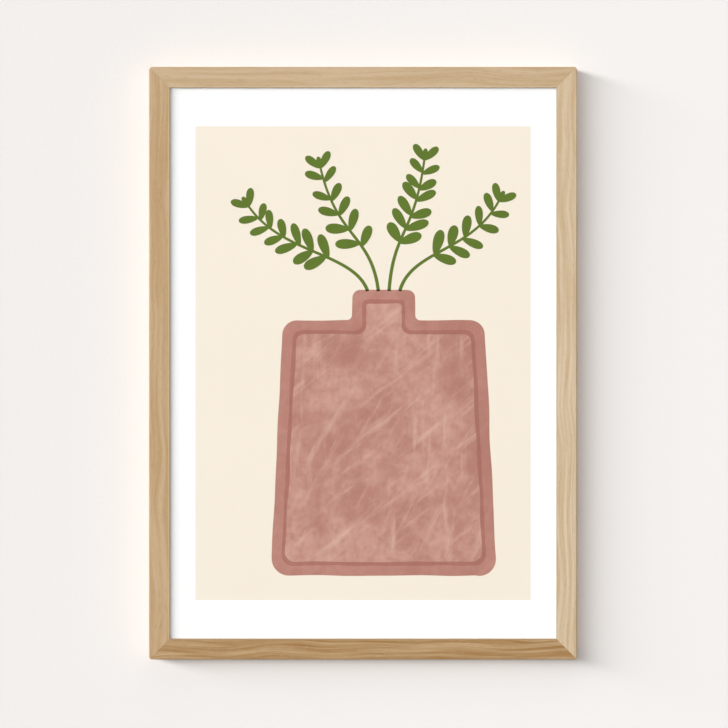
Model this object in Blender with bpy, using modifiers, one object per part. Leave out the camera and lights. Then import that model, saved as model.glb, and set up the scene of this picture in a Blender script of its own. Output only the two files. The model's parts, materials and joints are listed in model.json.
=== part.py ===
"""A framed botanical print on A3 paper: its oak rails, glazing, sheets, boards and back hardware.

Metres, +Z up. The picture faces -Y, and +X is on the right of someone who looks at it.
The wall is the plane y = 0. The origin is the middle notch of the hanger, where the wall's nail
carries the frame.
"""
from math import cos, pi, radians, sin, sqrt

import bmesh
import bpy
from mathutils import Matrix, Vector

# The sheet, and what the moulding covers of it
SHEET_WIDTH = 0.297
SHEET_HEIGHT = 0.420
SHEET_COVERED = 0.004
SHEET_PLAY = 0.001

# The moulding's section
FACE_WIDTH = 0.0155
LIP_DEPTH = 0.0025
CORNER_RADIUS = 0.0024
FRONT_ROUND = 0.0009
BACK_ROUND = 0.0005
SIGHT_ROUND = 0.0006

# What lies in the rebate
GLAZING_THICK = 0.001
PRINT_THICK = 0.00025
FOAM_THICK = 0.005
FILLER_THICK = 0.004
BACKING_THICK = 0.003

# Room between pieces that touch, or that are pressed or glued together
GAP = 0.0003

# V-nails, one across each mitre
V_NAIL_LEG = 0.005
V_NAIL_THICK = 0.0005
V_NAIL_HEIGHT = 0.010

# Turn buttons and their screws
BUTTON_LENGTH = 0.026
BUTTON_WIDTH = 0.009
BUTTON_THICK = 0.0009
BUTTON_PLACE = 0.25            # of the rail's length, out from its middle
SCREW_RADIUS = 0.00125
SCREW_LENGTH = 0.0105
SCREW_POINT = 0.003
SCREW_HEAD_RADIUS = 0.00265
SCREW_HEAD_HEIGHT = 0.0013
HEAD_EDGE = 0.35               # of the head's height, up to where its dome starts
RECESS_LENGTH = 0.0026
RECESS_WIDTH = 0.0006
RECESS_DEPTH = 0.0007
HARDWARE_TO_WALL = 0.0007      # from the screws' heads to the wall

# The sawtooth hanger and its nails
HANGER_LENGTH = 0.045
HANGER_HEIGHT = 0.009
HANGER_THICK = 0.0008
HANGER_TAB = 0.0078            # the flat at each end
HANGER_RAMP = 0.0050           # from the flat to the raised middle
HANGER_TO_WALL = 0.0006
HANGER_COLUMNS = 45
NOTCHES = 7
NOTCH_PITCH = 0.0026
NOTCH_WIDTH = 0.0020
NOTCH_DEPTH = 0.0012
NAIL_RADIUS = 0.0007
NAIL_LENGTH = 0.008
NAIL_POINT = 0.0015
NAIL_HEAD_RADIUS = 0.0019
NAIL_HEAD_HEIGHT = 0.0007

# Rubber bumpers near the lower corners
BUMPER_RADIUS = 0.0045
BUMPER_ROUND = 0.0008
BUMPER_FROM_CORNER = 0.024

# How finely round shapes are cut into flats, and how far cutters run past what they cut
ARC_STEPS = 4
ROUND_STEPS = 24
TRIM = 0.002

# The moulding's widths, worked out from the sheet
LIP_WIDTH = SHEET_COVERED + SHEET_PLAY
BACK_WIDTH = FACE_WIDTH - LIP_WIDTH
OUTER_WIDTH = SHEET_WIDTH - 2 * SHEET_COVERED + 2 * FACE_WIDTH
OUTER_HEIGHT = SHEET_HEIGHT - 2 * SHEET_COVERED + 2 * FACE_WIDTH

# Places along Y, worked out from the wall forwards: the package of boards fills the rebate
PACKAGE_DEPTH = GLAZING_THICK + PRINT_THICK + FOAM_THICK + FILLER_THICK + BACKING_THICK + 5 * GAP
RAIL_DEPTH = LIP_DEPTH + PACKAGE_DEPTH
RAIL_BACK = -(2 * GAP + BUTTON_THICK + SCREW_HEAD_HEIGHT + HARDWARE_TO_WALL)
RAIL_FRONT = RAIL_BACK - RAIL_DEPTH
HARDWARE_FRONT = RAIL_BACK + GAP
HANGER_RISE = -HARDWARE_FRONT - HANGER_THICK - HANGER_TO_WALL

# The hanger lies along the middle of the top rail's back, with its middle notch at the origin
HANGER_MIDDLE = HANGER_HEIGHT / 2 - NOTCH_DEPTH
CENTRE_HEIGHT = HANGER_MIDDLE + BACK_WIDTH / 2 - OUTER_HEIGHT / 2

# Each side's turn about Y, its rail's length, and from the frame's centre to its outer edge
SIDES = {
    "top": (0, OUTER_WIDTH, OUTER_HEIGHT / 2),
    "right": (pi / 2, OUTER_HEIGHT, OUTER_WIDTH / 2),
    "bottom": (pi, OUTER_WIDTH, OUTER_HEIGHT / 2),
    "left": (-pi / 2, OUTER_HEIGHT, OUTER_WIDTH / 2),
}


def start():
    """Empty the scene, and make the collections for the parts and for the cutters."""
    for old in list(bpy.data.objects):
        bpy.data.objects.remove(old, do_unlink=True)
    groups = []
    for name in ("framed_botanical_print", "cutters"):
        group = bpy.data.collections.new(name)
        bpy.context.scene.collection.children.link(group)
        groups.append(group)
    return groups


def finish(name, colour, roughness, metallic=0.0, alpha=1.0):
    made = bpy.data.materials.new(name)
    made.use_nodes = True
    shader = made.node_tree.nodes["Principled BSDF"]
    shader.inputs["Base Color"].default_value = (*colour, 1)
    shader.inputs["Roughness"].default_value = roughness
    shader.inputs["Metallic"].default_value = metallic
    shader.inputs["Alpha"].default_value = alpha
    return made


PARTS, CUTTERS = start()
OAK = finish("oak", (0.53, 0.37, 0.22), 0.55)
ACRYLIC = finish("acrylic", (0.95, 0.97, 0.96), 0.08, alpha=0.12)
PAPER = finish("paper", (0.93, 0.92, 0.90), 0.85)
FOAM = finish("foam_board", (0.90, 0.90, 0.88), 0.80)
CARDBOARD = finish("cardboard", (0.48, 0.33, 0.19), 0.85)
HARDBOARD = finish("hardboard", (0.30, 0.19, 0.11), 0.70)
ZINC = finish("zinc_plated_steel", (0.62, 0.62, 0.60), 0.35, metallic=1.0)
SPRING_STEEL = finish("spring_steel", (0.42, 0.42, 0.43), 0.40, metallic=1.0)
RUBBER = finish("rubber", (0.05, 0.05, 0.05), 0.80)


def add_part(name, mesh, material, place, turn=0.0):
    """A part: its mesh, its material, its place and its turn about Y."""
    if not mesh.materials:
        mesh.materials.append(material)
    part = bpy.data.objects.new(name, mesh)
    part.location = place
    part.rotation_euler.y = turn
    PARTS.objects.link(part)
    return part


def add_cutter(name, mesh, place=(0, 0, 0), turn=0.0):
    cutter = bpy.data.objects.new(name, mesh)
    cutter.location = place
    cutter.rotation_euler.y = turn
    cutter.hide_render = True
    cutter.display_type = "WIRE"
    CUTTERS.objects.link(cutter)
    return cutter


def boolean(part, cutter, operation="DIFFERENCE"):
    modifier = part.modifiers.new(cutter.name, "BOOLEAN")
    modifier.operation = operation
    modifier.solver = "EXACT"
    modifier.object = cutter


def baked(piece):
    """The mesh of a piece with its modifiers applied and its seams welded; the piece is removed."""
    bpy.context.view_layer.update()
    shaped = piece.evaluated_get(bpy.context.evaluated_depsgraph_get())
    mesh = bpy.data.meshes.new_from_object(shaped)
    bpy.data.objects.remove(piece)
    work = bmesh.new()
    work.from_mesh(mesh)
    bmesh.ops.remove_doubles(work, verts=work.verts, dist=1e-6)
    work.to_mesh(mesh)
    work.free()
    return mesh


def plate(name, outlines, thickness):
    """A flat plate from y = 0 to y = thickness: an outline of (x, z) points, then its holes."""
    curve = bpy.data.curves.new(name, "CURVE")
    curve.dimensions = "2D"
    curve.fill_mode = "BOTH"
    curve.extrude = thickness / 2
    for outline in outlines:
        spline = curve.splines.new("POLY")
        spline.points.add(len(outline) - 1)
        for point, (x, z) in zip(spline.points, outline):
            point.co = (x, z, 0, 1)
        spline.use_cyclic_u = True
    outlined = bpy.data.objects.new(name, curve)
    CUTTERS.objects.link(outlined)
    mesh = baked(outlined)
    for vert in mesh.vertices:
        x, z, y = vert.co
        vert.co = (x, y + thickness / 2, z)
    mesh.flip_normals()
    return mesh


def arc(x, z, radius, start_angle, end_angle, steps):
    """Points on a circle about (x, z), from one angle to another, both included."""
    angles = [start_angle + (end_angle - start_angle) * step / steps for step in range(steps + 1)]
    return [(x + radius * cos(angle), z + radius * sin(angle)) for angle in angles]


def circle(radius):
    return arc(0, 0, radius, 0, 2 * pi, ROUND_STEPS)[:-1]


def turned(name, profile):
    """A solid turned about Y: (radius, y) points down its outer side, from its back to its front."""
    outline = bpy.data.meshes.new(name)
    points = [(radius, 0, height) for radius, height in profile]
    outline.from_pydata(points, [(step, step + 1) for step in range(len(points) - 1)], [])
    piece = bpy.data.objects.new(name, outline)
    CUTTERS.objects.link(piece)
    screw = piece.modifiers.new("turn", "SCREW")
    screw.axis = "Z"
    screw.steps = ROUND_STEPS
    screw.render_steps = ROUND_STEPS
    screw.use_merge_vertices = True
    screw.merge_threshold = 1e-6
    mesh = baked(piece)
    mesh.transform(Matrix.Rotation(-pi / 2, 4, "X"))
    smooth(mesh)
    return mesh


def smooth(mesh):
    mesh.shade_smooth()
    mesh.set_sharp_from_angle(angle=radians(36))


def on_side(side, along):
    """The (x, z) of a point on the middle of a rail's back, so far along it from its own middle."""
    turn, _, reach = SIDES[side]
    point = Matrix.Rotation(turn, 3, "Y") @ Vector((along, 0, reach - BACK_WIDTH / 2))
    return point.x, point.z + CENTRE_HEIGHT


def frame_blank():
    """The frame's outside: a block with round corners, and its front and back edges eased."""
    block = bmesh.new()
    bmesh.ops.create_cube(block, size=1)
    bmesh.ops.scale(block, vec=(OUTER_WIDTH, RAIL_DEPTH, OUTER_HEIGHT), verts=block.verts)
    bmesh.ops.translate(block, vec=(0, RAIL_DEPTH / 2, 0), verts=block.verts)
    corners = [edge for edge in block.edges if edge.verts[0].co.y != edge.verts[1].co.y]
    bmesh.ops.bevel(block, geom=corners, offset=CORNER_RADIUS, segments=ARC_STEPS, profile=0.5,
                    affect="EDGES")
    for rim_y, radius in ((0, FRONT_ROUND), (RAIL_DEPTH, BACK_ROUND)):
        rim = [edge for edge in block.edges
               if all(abs(vert.co.y - rim_y) < BACK_ROUND / 2 for vert in edge.verts)]
        bmesh.ops.bevel(block, geom=rim, offset=radius, segments=ARC_STEPS, profile=0.5,
                        affect="EDGES")
    mesh = bpy.data.meshes.new("frame_blank")
    block.to_mesh(mesh)
    block.free()
    return add_cutter("frame_blank", mesh, (0, RAIL_FRONT, CENTRE_HEIGHT))


def rail_section():
    """The moulding's section, as (depth, height) points, with the frame's outer edge at height 0."""
    return [
        (0, TRIM),
        *arc(SIGHT_ROUND, SIGHT_ROUND - FACE_WIDTH, SIGHT_ROUND, pi, 1.5 * pi, ARC_STEPS),
        (LIP_DEPTH, -FACE_WIDTH),
        (LIP_DEPTH, -BACK_WIDTH),
        (RAIL_DEPTH + TRIM, -BACK_WIDTH),
        (RAIL_DEPTH + TRIM, TRIM),
    ]


def rail(side, blank):
    """One rail: the section along its side, with its ends on the mitres, inside the blank."""
    turn, length, reach = SIDES[side]
    mesh = plate("rail_" + side, [rail_section()], length)
    for vert in mesh.vertices:
        depth, along, height = vert.co
        half = length / 2 + height - GAP / sqrt(2)
        vert.co = (half if along > length / 2 else -half, depth, height + reach)
    mesh.flip_normals()
    part = add_part("rail_" + side, mesh, OAK, (0, RAIL_FRONT, CENTRE_HEIGHT), turn)
    boolean(part, blank, "INTERSECT")
    return part


def pilot_hole(part, name, x, z, radius, depth):
    """A blind hole into a rail's back."""
    hole = add_cutter(name, plate(name, [circle(radius)], depth + TRIM), (x, RAIL_BACK - depth, z))
    boolean(part, hole)


def v_outline(leg, thick):
    """The V-nail's outline in the top right corner: two legs at right angles, down the rails."""
    middle = -BACK_WIDTH / 2
    near = middle + thick / 2
    far = middle - thick / 2
    end = middle - leg
    return [(near, near), (end, near), (end, far), (far, far), (far, end), (near, end)]


def v_nails(rails):
    """One V-nail across each mitre, a little under the rails' backs, and its slot."""
    corners = {"top_right": (0, 1, 1), "bottom_right": (pi / 2, 1, -1),
               "bottom_left": (pi, -1, -1), "top_left": (-pi / 2, -1, 1)}
    nail_front = RAIL_BACK - GAP - V_NAIL_HEIGHT
    slot_front = nail_front - GAP
    for name, (turn, right, up) in corners.items():
        x = right * OUTER_WIDTH / 2
        z = CENTRE_HEIGHT + up * OUTER_HEIGHT / 2
        nail = plate("v_nail_" + name, [v_outline(V_NAIL_LEG, V_NAIL_THICK)], V_NAIL_HEIGHT)
        add_part("v_nail_" + name, nail, SPRING_STEEL, (x, nail_front, z), turn)
        room = v_outline(V_NAIL_LEG + GAP, V_NAIL_THICK + 2 * GAP)
        slot = plate("v_slot_" + name, [room], RAIL_BACK - slot_front + TRIM)
        slot = add_cutter("v_slot_" + name, slot, (x, slot_front, z), turn)
        for side in name.split("_"):
            boolean(rails[side], slot)


def package():
    """The glazing, the print and the boards behind it, one after another in the rebate."""
    layers = (
        ("glazing", GLAZING_THICK, ACRYLIC),
        ("print_sheet", PRINT_THICK, PAPER),
        ("foam_board", FOAM_THICK, FOAM),
        ("cardboard_filler", FILLER_THICK, CARDBOARD),
        ("backing_board", BACKING_THICK, HARDBOARD),
    )
    front = RAIL_FRONT + LIP_DEPTH + GAP
    for name, thickness, material in layers:
        sheet = bmesh.new()
        bmesh.ops.create_cube(sheet, size=1)
        bmesh.ops.scale(sheet, vec=(SHEET_WIDTH, thickness, SHEET_HEIGHT), verts=sheet.verts)
        mesh = bpy.data.meshes.new(name)
        sheet.to_mesh(mesh)
        sheet.free()
        add_part(name, mesh, material, (0, front + thickness / 2, CENTRE_HEIGHT))
        front += thickness + GAP


def button_mesh():
    """A plate with round ends, pierced at its upper end, where its screw holds it."""
    radius = BUTTON_WIDTH / 2
    straight = BUTTON_LENGTH - BUTTON_WIDTH
    outline = arc(0, 0, radius, 0, pi, ROUND_STEPS // 2)
    outline += arc(0, -straight, radius, pi, 2 * pi, ROUND_STEPS // 2)
    return plate("turn_button", [outline, circle(SCREW_RADIUS + GAP)], BUTTON_THICK)


def screw_mesh():
    """A pan-head wood screw with a cross recess; y = 0 is under its head."""
    dome = arc(0, 0, 1, 0, pi / 2, ARC_STEPS + 1)[-2::-1]
    head = [(SCREW_HEAD_RADIUS * x, SCREW_HEAD_HEIGHT * (HEAD_EDGE + (1 - HEAD_EDGE) * y))
            for x, y in dome]
    screw = turned("screw", [
        (0, SCREW_HEAD_HEIGHT),
        *head,
        (SCREW_HEAD_RADIUS, 0),
        (SCREW_RADIUS, 0),
        (SCREW_RADIUS, SCREW_POINT - SCREW_LENGTH),
        (0, -SCREW_LENGTH),
    ])
    blank = bpy.data.objects.new("screw", screw)
    CUTTERS.objects.link(blank)
    long = RECESS_LENGTH / 2
    short = RECESS_WIDTH / 2
    quarter = [(long, -short), (long, short), (short, short)]
    cross = []
    for turn in range(4):
        swing = Matrix.Rotation(turn * pi / 2, 2)
        cross += [tuple(swing @ Vector(point)) for point in quarter]
    recess = add_cutter("recess", plate("recess", [cross], RECESS_DEPTH + TRIM),
                        (0, SCREW_HEAD_HEIGHT - RECESS_DEPTH, 0))
    boolean(blank, recess)
    mesh = baked(blank)
    bpy.data.objects.remove(recess)
    smooth(mesh)
    return mesh


def turn_buttons(rails):
    """Two buttons on each rail, pointing in over the backing, and the screws they turn on."""
    button = button_mesh()
    screw = screw_mesh()
    under_head = HARDWARE_FRONT + BUTTON_THICK + GAP
    hole_depth = SCREW_LENGTH - (under_head - RAIL_BACK) + GAP
    for side, (turn, length, _) in SIDES.items():
        for along in (-BUTTON_PLACE * length, BUTTON_PLACE * length):
            x, z = on_side(side, along)
            if side in ("top", "bottom"):
                end = "right" if x > 0 else "left"
            else:
                end = "upper" if z > CENTRE_HEIGHT else "lower"
            name = side + "_" + end
            add_part("turn_button_" + name, button, ZINC, (x, HARDWARE_FRONT, z), turn)
            add_part("button_screw_" + name, screw, ZINC, (x, under_head, z), turn)
            pilot_hole(rails[side], "pilot_" + name, x, z, SCREW_RADIUS + GAP, hole_depth)


def hanger_bow(x):
    """How far the strip stands off its tabs at x, over smooth ramps and a raised middle."""
    ramp = (HANGER_LENGTH / 2 - HANGER_TAB - abs(x)) / HANGER_RAMP
    ramp = min(max(ramp, 0), 1)
    return HANGER_RISE * ramp * ramp * (3 - 2 * ramp)


def hanger_strip():
    """The bowed strip, from its front face back by its thickness."""
    strip = bmesh.new()
    bmesh.ops.create_grid(strip, x_segments=HANGER_COLUMNS, y_segments=1, size=0.5)
    for vert in strip.verts:
        x = vert.co.x * HANGER_LENGTH
        vert.co = (x, hanger_bow(x), vert.co.y * HANGER_HEIGHT)
    mesh = bpy.data.meshes.new("sawtooth_hanger")
    strip.to_mesh(mesh)
    strip.free()
    part = add_part("sawtooth_hanger", mesh, ZINC, (0, HARDWARE_FRONT, HANGER_MIDDLE))
    thicken = part.modifiers.new("thickness", "SOLIDIFY")
    thicken.thickness = HANGER_THICK
    thicken.offset = -1
    return part


def notches():
    """The outline of the comb that cuts the notches, one of them at x = 0, between flat teeth."""
    base = -NOTCH_DEPTH - GAP
    half_width = NOTCH_WIDTH / 2 * base / -NOTCH_DEPTH
    outline = []
    for notch in range(NOTCHES):
        x = (notch - (NOTCHES - 1) / 2) * NOTCH_PITCH
        outline += [(x - half_width, base), (x, 0), (x + half_width, base)]
    first, last = outline[0][0], outline[-1][0]
    return outline + [(last, base - TRIM), (first, base - TRIM)]


def hanger(top_rail):
    """The sawtooth hanger, and a nail through each of its tabs into the top rail."""
    strip = hanger_strip()
    comb = plate("notches", [notches()], HANGER_RISE + HANGER_THICK + 2 * TRIM)
    boolean(strip, add_cutter("notches", comb, (0, HARDWARE_FRONT - TRIM, 0)))
    nail = turned("hanger_nail", [
        (0, NAIL_HEAD_HEIGHT),
        (NAIL_HEAD_RADIUS * 0.8, NAIL_HEAD_HEIGHT),
        (NAIL_HEAD_RADIUS, NAIL_HEAD_HEIGHT / 2),
        (NAIL_HEAD_RADIUS, 0),
        (NAIL_RADIUS, 0),
        (NAIL_RADIUS, NAIL_POINT - NAIL_LENGTH),
        (0, -NAIL_LENGTH),
    ])
    under_head = HARDWARE_FRONT + HANGER_THICK + GAP
    hole_depth = NAIL_LENGTH - (under_head - RAIL_BACK) + GAP
    for end, x in (("left", (HANGER_TAB - HANGER_LENGTH) / 2), ("right", (HANGER_LENGTH - HANGER_TAB) / 2)):
        hole = plate("tab_hole_" + end, [circle(NAIL_RADIUS + GAP)], HANGER_THICK + 2 * TRIM)
        boolean(strip, add_cutter("tab_hole_" + end, hole, (x, HARDWARE_FRONT - TRIM, HANGER_MIDDLE)))
        add_part("hanger_nail_" + end, nail, ZINC, (x, under_head, HANGER_MIDDLE))
        pilot_hole(top_rail, "nail_hole_" + end, x, HANGER_MIDDLE, NAIL_RADIUS + GAP, hole_depth)


def bumpers():
    """A rubber bumper near each lower corner; their backs touch the wall."""
    height = -HARDWARE_FRONT
    bumper = turned("wall_bumper", [
        (0, height),
        *arc(BUMPER_RADIUS - BUMPER_ROUND, height - BUMPER_ROUND, BUMPER_ROUND, pi / 2, 0, ARC_STEPS),
        (BUMPER_RADIUS, 0),
        (0, 0),
    ])
    along = OUTER_WIDTH / 2 - BUMPER_FROM_CORNER
    for end, offset in (("right", -along), ("left", along)):
        x, z = on_side("bottom", offset)
        add_part("wall_bumper_" + end, bumper, RUBBER, (x, HARDWARE_FRONT, z))


def build():
    blank = frame_blank()
    rails = {side: rail(side, blank) for side in SIDES}
    v_nails(rails)
    package()
    turn_buttons(rails)
    hanger(rails["top"])
    bumpers()


build()
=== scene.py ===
"""The looks of a framed botanical print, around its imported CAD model.

Metres, +Z up. The picture faces -Y, the wall is the plane y = 0, and the middle notch of the
hanger is the origin. The oak rails, the turn buttons and the printed design are made here; every
other piece is the CAD model's own shape, with its edges eased. The design on the sheet is a plain
bottle with sprigs of an herb, drawn by formula, with no lettering.
"""

import json
import random
from math import atan, cos, degrees, pi, radians, sin, sqrt, tan

import bmesh
import bpy
from mathutils import Matrix, Vector
from mathutils.geometry import delaunay_2d_cdt

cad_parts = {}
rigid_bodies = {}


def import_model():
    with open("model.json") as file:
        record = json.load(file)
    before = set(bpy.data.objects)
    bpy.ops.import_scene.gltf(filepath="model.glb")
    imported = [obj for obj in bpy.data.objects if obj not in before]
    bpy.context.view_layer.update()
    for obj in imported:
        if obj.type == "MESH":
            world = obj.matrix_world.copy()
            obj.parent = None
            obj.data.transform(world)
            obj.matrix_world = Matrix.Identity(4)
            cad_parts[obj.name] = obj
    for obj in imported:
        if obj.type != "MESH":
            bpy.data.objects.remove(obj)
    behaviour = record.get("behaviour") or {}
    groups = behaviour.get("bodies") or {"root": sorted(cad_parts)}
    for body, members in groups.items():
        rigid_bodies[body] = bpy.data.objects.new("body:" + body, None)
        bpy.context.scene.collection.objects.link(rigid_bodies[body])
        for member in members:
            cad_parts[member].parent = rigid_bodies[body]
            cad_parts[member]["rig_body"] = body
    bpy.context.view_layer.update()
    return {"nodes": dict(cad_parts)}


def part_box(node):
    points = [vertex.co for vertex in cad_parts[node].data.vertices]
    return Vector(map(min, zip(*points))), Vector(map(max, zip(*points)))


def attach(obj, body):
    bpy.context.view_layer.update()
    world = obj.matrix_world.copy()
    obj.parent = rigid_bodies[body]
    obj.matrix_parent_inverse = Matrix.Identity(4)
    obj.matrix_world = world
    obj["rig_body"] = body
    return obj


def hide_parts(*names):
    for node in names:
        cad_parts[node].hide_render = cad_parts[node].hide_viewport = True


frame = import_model()
NODES = frame["nodes"]

# The moulding, whose outside sizes are read from the CAD rails
LIP_DEPTH = 0.0025
BACK_WIDTH = 0.0105
CORNER_RADIUS = 0.0024
FRONT_ROUND = 0.0009
BACK_ROUND = 0.0005
SIGHT_ROUND = 0.0003
REBATE_EASE = 0.0002
MITRE_GAP = 0.00005
CORNER_STEPS = 6
ROUND_STEPS = 8
SPANS = 12                     # lengths that a rail is cut into between its corners
PAST = 0.001                   # how far a cutter runs past what it cuts
SLOT_ROOM = 0.0002             # how far a V-nail's slot swells around it

# Making meshes from curves and CAD shapes
WELD = 1e-6                    # points nearer than this are welded
FLAT_DEGREES = 1               # faces that turn less than this are one face
EASED_DEGREES = 40             # edges that turn more than this are eased
SHARP_DEGREES = 34             # edges that turn more than this are shaded sharp

# Turn buttons: a plate with rolled edges and a pressed rib
BUTTON_LENGTH = 0.026
BUTTON_WIDTH = 0.009
BUTTON_THICK = 0.0009
BUTTON_HOLE = 0.00155
BUTTON_EDGE = 0.00018
END_STEPS = 24                 # lengths that each round end is cut into
HOLE_STEPS = 32
RIB_REACH = 0.0115             # from the screw to the rib's middle
RIB_HALF = (0.0014, 0.0004, 0.0052)
RIB_SEGMENTS, RIB_RINGS = 32, 24
PILOT_RADIUS = 0.0015          # of the holes that their screws go into
PILOT_STEPS = 24

# The printed design, about the frame's centre
PANEL_WIDTH = 0.251
PANEL_HEIGHT = 0.3546
INK_STEP = 0.00004             # from one printed layer to the next
INK_SUNK = 0.00002             # how far a layer runs back into the sheet
INK_SEAM = 1e-7                # points nearer than this are one point
BOTTLE_MIDDLE = 0.0155
BOTTLE_BASE = (0.0845, -0.159)     # half its width, and its height, at the foot
BOTTLE_SHOULDER = (0.0755, 0.032)
BOTTLE_NECK = (0.0235, 0.055)
BOTTLE_ROUNDS = (0.013, 0.011, 0.004, 0.006)    # at the foot, shoulder, neck's foot and mouth
BAND_WIDTH = 0.0075
LINE_WIDTH = 0.0028
ARC_STEPS = 8                  # lengths that each of the bottle's corners is cut into
OUTLINE_WOBBLE = 0.0006
OUTLINE_PITCH = 0.002
STEM_WIDTH = 0.0026
LEAF_LENGTH = 0.0176
LEAF_WIDTH = 0.0086
LEAF_OUTLINE = 26
LEAVES_FROM, LEAVES_TO = 0.36, 0.88     # shares of a sprig's length between which they stand
STEM_STEPS = 40
STEM_TAPER = 0.35              # the share of its width that a stem has lost at its tip
CURVE_STEPS = 60               # lengths that a curve is measured in
TIP_LEAVES = ((-0.70, 0.80), (0.70, 0.80), (0.0, 0.50))    # each one's lean, and its share of the size
TIP_BACK = 0.001               # how far back from the tip they start
PAPER_WHITE = (0.89, 0.89, 0.885)

# Each sprig: its tip, across and up from the frame's centre, and its pairs of leaves
SPRIGS = ((-0.086, 0.118, 6), (-0.032, 0.147, 5), (0.046, 0.153, 6), (0.102, 0.122, 5))
SPRIG_ROOT = -0.012            # from the bottle's middle to the first sprig's root
SPRIG_PITCH = 0.008            # from one root to the next
SPRIG_DEPTH = 0.001            # how far below the bottle's mouth they start

# The camera: its lens and sensor in millimetres, what it sees, and its place beside the centre
LENS = 200.0
SENSOR = 36.0
VIEW_WIDTH = 0.5441            # what it sees across, at the frame's front
VIEW_ASIDE = (0.00075, -0.00064)

# The key light: softboxes side by side from the front round to the left, rising to the left
KEY_BOXES = 6
KEY_SPREAD = 15                # degrees that each one takes up
KEY_SLOPE = 0.285              # the tangent of the elevation they would reach at 90 degrees
KEY_RISE = 1.0                 # degrees that the front ones are raised further
KEY_DISTANCE = 24.0
KEY_HEIGHT = 4.8
KEY_POWER = 1390

# The other softboxes: azimuth, elevation, distance, width, height, power, and if shiny faces mirror them
SOFTBOXES = {
    "front_fill": (0, 0, 3.7, 0.4, 0.4, 23, False),
    "overhead": (0, 55, 3.6, 3.0, 2.4, 13, True),
    "back_left": (140, 25, 2.6, 1.6, 1.2, 55, True),
    "back_right": (215, 20, 2.8, 1.4, 1.4, 40, True),
}

# The light over the floor, and the surround: how bright it shines, and how bright it looks
FLOOR_LIGHT_DROP = 0.6         # from the frame's centre
FLOOR_LIGHT_SIZE = 14.0
FLOOR_LIGHT_POWER = 190
SURROUND_TONE = (0.93, 0.92, 0.91, 1)
SURROUND_SHINES, SURROUND_LOOKS = 0.12, 0.92

# The stage
WALL_REACH = 6.0
FLOOR_DROP = 1.1               # from the frame's centre to the floor
WALL_TONE = (0.731, 0.707, 0.691)
# Painted light on the wall: its tone is darker where the key light is stronger and paler where it is
# weaker
WALL_PAINTED_LIGHT_GRADE = (0.969, 1.046)    # shares of that tone to the frame's upper left, and to its lower right

GRAIN_BEND = 0.013             # how far the oak's grain wanders from side to side

# Each rail's tone, how strong its figure is, its sight arris's tone (painted light above 1, painted shade
# below 1), and its seed
RAIL_TONES = {
    "top": ((0.478, 0.346, 0.206), 0.42, 1.12, 3),
    "right": ((0.550, 0.428, 0.287), 0.66, 0.78, 17),
    "bottom": ((0.384, 0.244, 0.112), 1.45, 0.95, 29),
    "left": ((0.444, 0.303, 0.165), 0.52, 1.16, 41),
}


def joined_box(*nodes):
    """The lowest and highest corners of several CAD nodes."""
    corners = [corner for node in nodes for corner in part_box(node)]
    low = Vector(min(corner[axis] for corner in corners) for axis in range(3))
    high = Vector(max(corner[axis] for corner in corners) for axis in range(3))
    return low, high


OUTER_LOW, OUTER_HIGH = joined_box("rail_top", "rail_right", "rail_bottom", "rail_left")
CENTRE = (OUTER_LOW + OUTER_HIGH) / 2
OUTER_WIDTH, RAIL_DEPTH, OUTER_HEIGHT = OUTER_HIGH - OUTER_LOW
FACE_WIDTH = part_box("rail_top")[1].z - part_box("rail_top")[0].z
SHEET_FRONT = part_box("print_sheet")[0].y

# Each side's turn about Y, its rail's length, and from the frame's centre to its outer edge
SIDES = {
    "top": (0, OUTER_WIDTH, OUTER_HEIGHT / 2),
    "right": (pi / 2, OUTER_HEIGHT, OUTER_WIDTH / 2),
    "bottom": (pi, OUTER_WIDTH, OUTER_HEIGHT / 2),
    "left": (-pi / 2, OUTER_HEIGHT, OUTER_WIDTH / 2),
}


# Materials

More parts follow.
